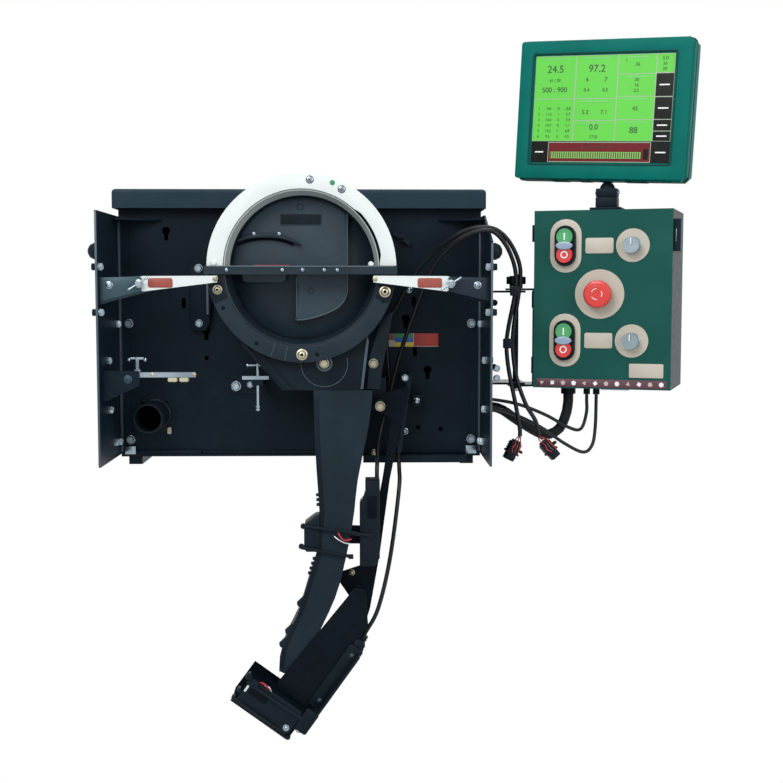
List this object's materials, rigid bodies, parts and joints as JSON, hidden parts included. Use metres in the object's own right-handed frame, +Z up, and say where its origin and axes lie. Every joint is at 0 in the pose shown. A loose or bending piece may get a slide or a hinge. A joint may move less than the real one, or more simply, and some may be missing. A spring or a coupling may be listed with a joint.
{
  "type": "seed meter test stand",
  "caption": "Bench-top test stand for a planter's finger seed meter, with a clamped meter, a curved seed tube, seed sensors, a control box and a monitor.",
  "frame": {"origin": "on the bench plane under the feet, in the middle of the cabinet's width, at the front face of its back panel", "axes": "+Z up, the stand faces -Y, +X towards the control box"},
  "size_m": [0.8444, 0.364, 0.9982],
  "materials": {
    "black_sheet": "semi-gloss black powder coat",
    "black_plastic": "black moulded plastic",
    "white_plastic": "white moulded plastic",
    "grey_cast": "cast aluminium",
    "zinc": "zinc plated steel",
    "green_paint": "fine textured dark green powder coat",
    "teal_plastic": "teal moulded case",
    "red_plastic": "red plastic",
    "green_plastic": "green plastic",
    "knob_metal": "turned aluminium",
    "black_cord": "black cord jacket"
  },
  "bodies": {
    "stand": {"back_panel": "black_sheet", "left_side_plate": "black_sheet", "right_side_plate": "black_sheet", "top_cover": "black_sheet", "rear_housing": "black_sheet", "base_pan": "black_sheet", "left_arm_bracket": "black_sheet", "right_arm_bracket": "black_sheet", "clamp_bracket": "black_sheet", "hanger_arm": "black_sheet", "guard_plate": "black_sheet", "support_bracket": "black_sheet", "swing_arm": "black_sheet", "control_box": "black_sheet", "monitor_post": "black_sheet", "vacuum_port": "black_plastic", "meter_housing": "black_plastic", "lower_half_ring": "black_plastic", "meter_cover": "black_plastic", "mouth_plate": "black_plastic", "seed_tube": "black_plastic", "mid_sensor": "black_plastic", "lower_sensor": "black_plastic", "connector_box": "black_plastic", "connector_mid": "black_plastic", "connector_low": "black_plastic", "upper_half_ring": "white_plastic", "drive_motor": "grey_cast", "latch_bracket": "zinc", "hook_bar": "zinc", "sensor_lead_mid": "black_cord", "sensor_lead_low": "black_cord", "trunk_cable": "black_cord", "drop_cord_1": "black_cord", "drop_cord_2": "black_cord"},
    "left_arm": {"left_meter_arm": "white_plastic"},
    "right_arm": {"right_meter_arm": "white_plastic"},
    "left_thumb": {"left_thumb_screw": "zinc"},
    "right_thumb": {"right_thumb_screw": "zinc"},
    "clamp_bar": {"clamp_bar": "zinc"},
    "clamp_screw": {"clamp_screw": "zinc"},
    "latch_lever": {"latch_lever": "zinc"},
    "upper_wing_nut": {"upper_wing_nut": "black_plastic"},
    "lower_wing_nut": {"lower_wing_nut": "black_plastic"},
    "drive": {"finger_wheel": "grey_cast", "drive_coupling": "zinc"},
    "star_knob": {"star_knob": "black_plastic"},
    "door": {"box_door": "green_paint", "meter_button_bezel": "black_plastic", "air_button_bezel": "black_plastic"},
    "door_latch": {"door_latch": "black_sheet"},
    "meter_start": {"meter_start_button": "green_plastic"},
    "meter_stop": {"meter_stop_button": "red_plastic"},
    "air_start": {"air_start_button": "green_plastic"},
    "air_stop": {"air_stop_button": "red_plastic"},
    "e_stop": {"e_stop_button": "red_plastic"},
    "meter_knob": {"meter_knob": "knob_metal"},
    "air_knob": {"air_knob": "knob_metal"},
    "monitor_swivel": {"monitor_ball": "zinc"},
    "monitor": {"monitor_housing": "teal_plastic"}
  },
  "joints": [
    {"name": "left_arm_swing", "type": "hinge", "parent": "stand", "child": "left_arm", "pos_m": [-0.215, -0.1368, 0.27], "axis": [0, -1, 0], "range_deg": [0, 75]},
    {"name": "right_arm_swing", "type": "hinge", "parent": "stand", "child": "right_arm", "pos_m": [0.215, -0.1368, 0.27], "axis": [0, 1, 0], "range_deg": [0, 75]},
    {"name": "left_thumb_turn", "type": "hinge", "parent": "left_arm", "child": "left_thumb", "pos_m": [-0.215, -0.1406, 0.27], "axis": [0, -1, 0], "continuous": true},
    {"name": "right_thumb_turn", "type": "hinge", "parent": "right_arm", "child": "right_thumb", "pos_m": [0.215, -0.1406, 0.27], "axis": [0, -1, 0], "continuous": true},
    {"name": "clamp_bar_swing", "type": "hinge", "parent": "stand", "child": "clamp_bar", "pos_m": [-0.248, -0.1262, 0.14], "axis": [0, 0, 1], "range_deg": [0, 20]},
    {"name": "clamp_screw_turn", "type": "hinge", "parent": "clamp_bar", "child": "clamp_screw", "pos_m": [-0.222, -0.1262, 0.1473], "axis": [0, 0, 1], "continuous": true},
    {"name": "latch_turn", "type": "hinge", "parent": "stand", "child": "latch_lever", "pos_m": [-0.058, -0.08, 0.1333], "axis": [0, 0, 1], "range_deg": [0, 90]},
    {"name": "upper_wing_nut_turn", "type": "hinge", "parent": "stand", "child": "upper_wing_nut", "pos_m": [0.151, -0.0003, 0.338], "axis": [0, -1, 0], "continuous": true},
    {"name": "lower_wing_nut_turn", "type": "hinge", "parent": "stand", "child": "lower_wing_nut", "pos_m": [0.127, -0.0003, 0.142], "axis": [0, -1, 0], "continuous": true},
    {"name": "drive_spin", "type": "hinge", "parent": "stand", "child": "drive", "pos_m": [0.008, -0.03, 0.292], "axis": [0, -1, 0], "continuous": true},
    {"name": "star_knob_turn", "type": "hinge", "parent": "stand", "child": "star_knob", "pos_m": [0.318, -0.037, 0.2641], "axis": [0, 0, 1], "continuous": true},
    {"name": "door_swing", "type": "hinge", "parent": "stand", "child": "door", "pos_m": [0.3409, -0.06728, 0.1205], "axis": [0, 0, -1], "range_deg": [0, 70]},
    {"name": "door_latch_flip", "type": "hinge", "parent": "stand", "child": "door_latch", "pos_m": [0.53367, -0.11159, 0.338], "axis": [0, 0, 1], "range_deg": [0, 90]},
    {"name": "monitor_swivel_turn", "type": "hinge", "parent": "stand", "child": "monitor_swivel", "pos_m": [0.4422, -0.08247, 0.40423], "axis": [0, 0, 1], "range_deg": [-60, 60]},
    {"name": "monitor_tilt", "type": "hinge", "parent": "monitor_swivel", "child": "monitor", "pos_m": [0.4422, -0.08247, 0.40423], "axis": [0.8898, -0.4534, -0.0523], "range_deg": [-15, 15]},
    {"name": "meter_start_press", "type": "slide", "parent": "door", "child": "meter_start", "axis": [0.342, 0.9397, 0], "range_m": [0, 0.0035], "stiffness_N_per_m": 400, "springref_m": -0.002},
    {"name": "meter_stop_press", "type": "slide", "parent": "door", "child": "meter_stop", "axis": [0.342, 0.9397, 0], "range_m": [0, 0.0035], "stiffness_N_per_m": 400, "springref_m": -0.002},
    {"name": "meter_knob_turn", "type": "hinge", "parent": "door", "child": "meter_knob", "pos_m": [0.47226, -0.11861, 0.324], "axis": [-0.342, -0.9397, 0], "range_deg": [-150, 150]},
    {"name": "air_start_press", "type": "slide", "parent": "door", "child": "air_start", "axis": [0.342, 0.9397, 0], "range_m": [0, 0.0035], "stiffness_N_per_m": 400, "springref_m": -0.002},
    {"name": "air_stop_press", "type": "slide", "parent": "door", "child": "air_stop", "axis": [0.342, 0.9397, 0], "range_m": [0, 0.0035], "stiffness_N_per_m": 400, "springref_m": -0.002},
    {"name": "air_knob_turn", "type": "hinge", "parent": "door", "child": "air_knob", "pos_m": [0.47226, -0.11861, 0.1895], "axis": [-0.342, -0.9397, 0], "range_deg": [-150, 150]},
    {"name": "e_stop_press", "type": "slide", "parent": "door", "child": "e_stop", "axis": [0.342, 0.9397, 0], "range_m": [0, 0.006], "stiffness_N_per_m": 600, "springref_m": -0.002}
  ]
}
